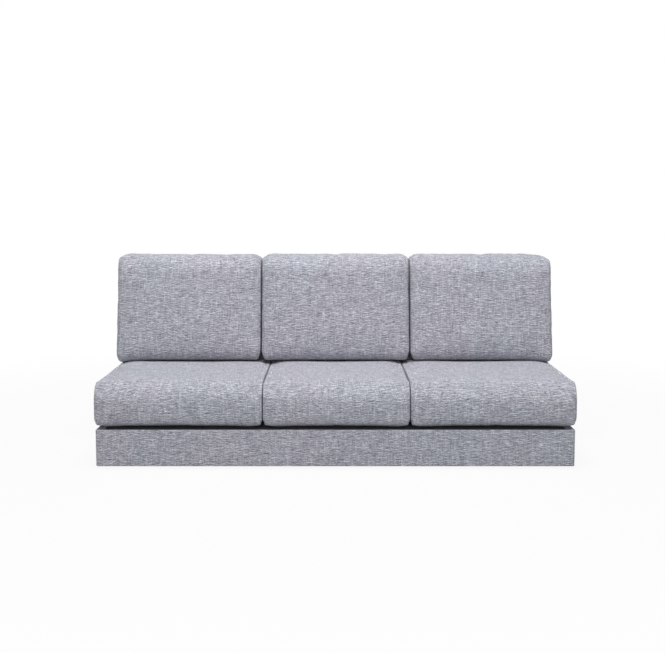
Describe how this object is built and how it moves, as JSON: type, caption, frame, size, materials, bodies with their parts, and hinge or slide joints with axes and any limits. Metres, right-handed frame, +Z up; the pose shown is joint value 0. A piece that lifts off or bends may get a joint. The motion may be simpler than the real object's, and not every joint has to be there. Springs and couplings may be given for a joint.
{
  "type": "armless sofa",
  "caption": "Armless sofa in heathered grey cloth, with loose box seat cushions, leaning loose back cushions and a low plain upholstered base",
  "frame": {"origin": "On the floor, under the middle of the sofa's outer box", "axes": "+X to the right as seen from the front, the front faces -Y, +Z up"},
  "size_m": [2.0418, 0.8988, 0.8676],
  "materials": {
    "tweed": "heathered woven cloth, matt",
    "deck_cloth": "plain dark lining cloth",
    "dust_cloth": "thin black non-woven cloth",
    "webbing": "woven elastic strap",
    "padding": "bonded fibre wadding",
    "foam": "open-cell foam",
    "fibre_fill": "fibre fill in a lining",
    "timber": "planed softwood",
    "zinc_steel": "zinc plated",
    "zip_nylon": "woven tape with nylon coil",
    "slider_metal": "dark nickel plated",
    "glide_plastic": "black moulded plastic"
  },
  "bodies": {
    "frame": {"base_front_rail": "timber", "base_rear_rail": "timber", "base_left_rail": "timber", "base_right_rail": "timber", "base_left_cross_rail": "timber", "base_right_cross_rail": "timber", "base_corner_blocks": "timber", "base_rear_battens": "timber", "seat_cross_straps": "webbing", "seat_long_straps": "webbing", "deck_pad": "padding", "deck_cloth": "deck_cloth", "base_front_cover": "tweed", "base_left_cover": "tweed", "base_right_cover": "tweed", "dust_cover": "dust_cloth", "glides": "glide_plastic", "left_end_post": "timber", "left_middle_post": "timber", "right_middle_post": "timber", "right_end_post": "timber", "back_top_rail": "timber", "back_lower_rails": "timber", "post_bolts": "zinc_steel", "post_nuts": "zinc_steel", "back_straps": "webbing", "back_pad": "padding", "back_inner_cover": "tweed", "back_rear_cover": "tweed", "back_top_cover": "tweed", "back_left_cover": "tweed", "back_right_cover": "tweed"},
    "seat_left_cushion": {"seat_left_cushion_cover": "tweed", "seat_left_cushion_fill": "foam", "seat_left_cushion_zip_chain": "zip_nylon"},
    "seat_left_cushion_slider": {"seat_left_cushion_zip_slider": "slider_metal"},
    "seat_middle_cushion": {"seat_middle_cushion_cover": "tweed", "seat_middle_cushion_fill": "foam", "seat_middle_cushion_zip_chain": "zip_nylon"},
    "seat_middle_cushion_slider": {"seat_middle_cushion_zip_slider": "slider_metal"},
    "seat_right_cushion": {"seat_right_cushion_cover": "tweed", "seat_right_cushion_fill": "foam", "seat_right_cushion_zip_chain": "zip_nylon"},
    "seat_right_cushion_slider": {"seat_right_cushion_zip_slider": "slider_metal"},
    "back_left_cushion": {"back_left_cushion_cover": "tweed", "back_left_cushion_fill": "fibre_fill", "back_left_cushion_zip_chain": "zip_nylon"},
    "back_left_cushion_slider": {"back_left_cushion_zip_slider": "slider_metal"},
    "back_middle_cushion": {"back_middle_cushion_cover": "tweed", "back_middle_cushion_fill": "fibre_fill", "back_middle_cushion_zip_chain": "zip_nylon"},
    "back_middle_cushion_slider": {"back_middle_cushion_zip_slider": "slider_metal"},
    "back_right_cushion": {"back_right_cushion_cover": "tweed", "back_right_cushion_fill": "fibre_fill", "back_right_cushion_zip_chain": "zip_nylon"},
    "back_right_cushion_slider": {"back_right_cushion_zip_slider": "slider_metal"}
  },
  "joints": [
    {"name": "seat_left_cushion_lift_off", "type": "slide", "parent": "frame", "child": "seat_left_cushion", "axis": [0, -1, 0], "range_m": [0, 0.78]},
    {"name": "seat_left_cushion_zip", "type": "slide", "parent": "seat_left_cushion", "child": "seat_left_cushion_slider", "axis": [1, 0, 0], "range_m": [0, 0.5419]},
    {"name": "seat_middle_cushion_lift_off", "type": "slide", "parent": "frame", "child": "seat_middle_cushion", "axis": [0, -1, 0], "range_m": [0, 0.78]},
    {"name": "seat_middle_cushion_zip", "type": "slide", "parent": "seat_middle_cushion", "child": "seat_middle_cushion_slider", "axis": [1, 0, 0], "range_m": [0, 0.4544]},
    {"name": "seat_right_cushion_lift_off", "type": "slide", "parent": "frame", "child": "seat_right_cushion", "axis": [0, -1, 0], "range_m": [0, 0.78]},
    {"name": "seat_right_cushion_zip", "type": "slide", "parent": "seat_right_cushion", "child": "seat_right_cushion_slider", "axis": [1, 0, 0], "range_m": [0, 0.5329]},
    {"name": "back_left_cushion_lift_off", "type": "slide", "parent": "frame", "child": "back_left_cushion", "axis": [0, 0.1392, 0.9903], "range_m": [0, 0.55]},
    {"name": "back_left_cushion_zip", "type": "slide", "parent": "back_left_cushion", "child": "back_left_cushion_slider", "axis": [1, 0, 0], "range_m": [0, 0.5129]},
    {"name": "back_middle_cushion_lift_off", "type": "slide", "parent": "frame", "child": "back_middle_cushion", "axis": [0, 0.1392, 0.9903], "range_m": [0, 0.55]},
    {"name": "back_middle_cushion_zip", "type": "slide", "parent": "back_middle_cushion", "child": "back_middle_cushion_slider", "axis": [1, 0, 0], "range_m": [0, 0.5354]},
    {"name": "back_right_cushion_lift_off", "type": "slide", "parent": "frame", "child": "back_right_cushion", "axis": [0, 0.1392, 0.9903], "range_m": [0, 0.55]},
    {"name": "back_right_cushion_zip", "type": "slide", "parent": "back_right_cushion", "child": "back_right_cushion_slider", "axis": [1, 0, 0], "range_m": [0, 0.5089]}
  ]
}
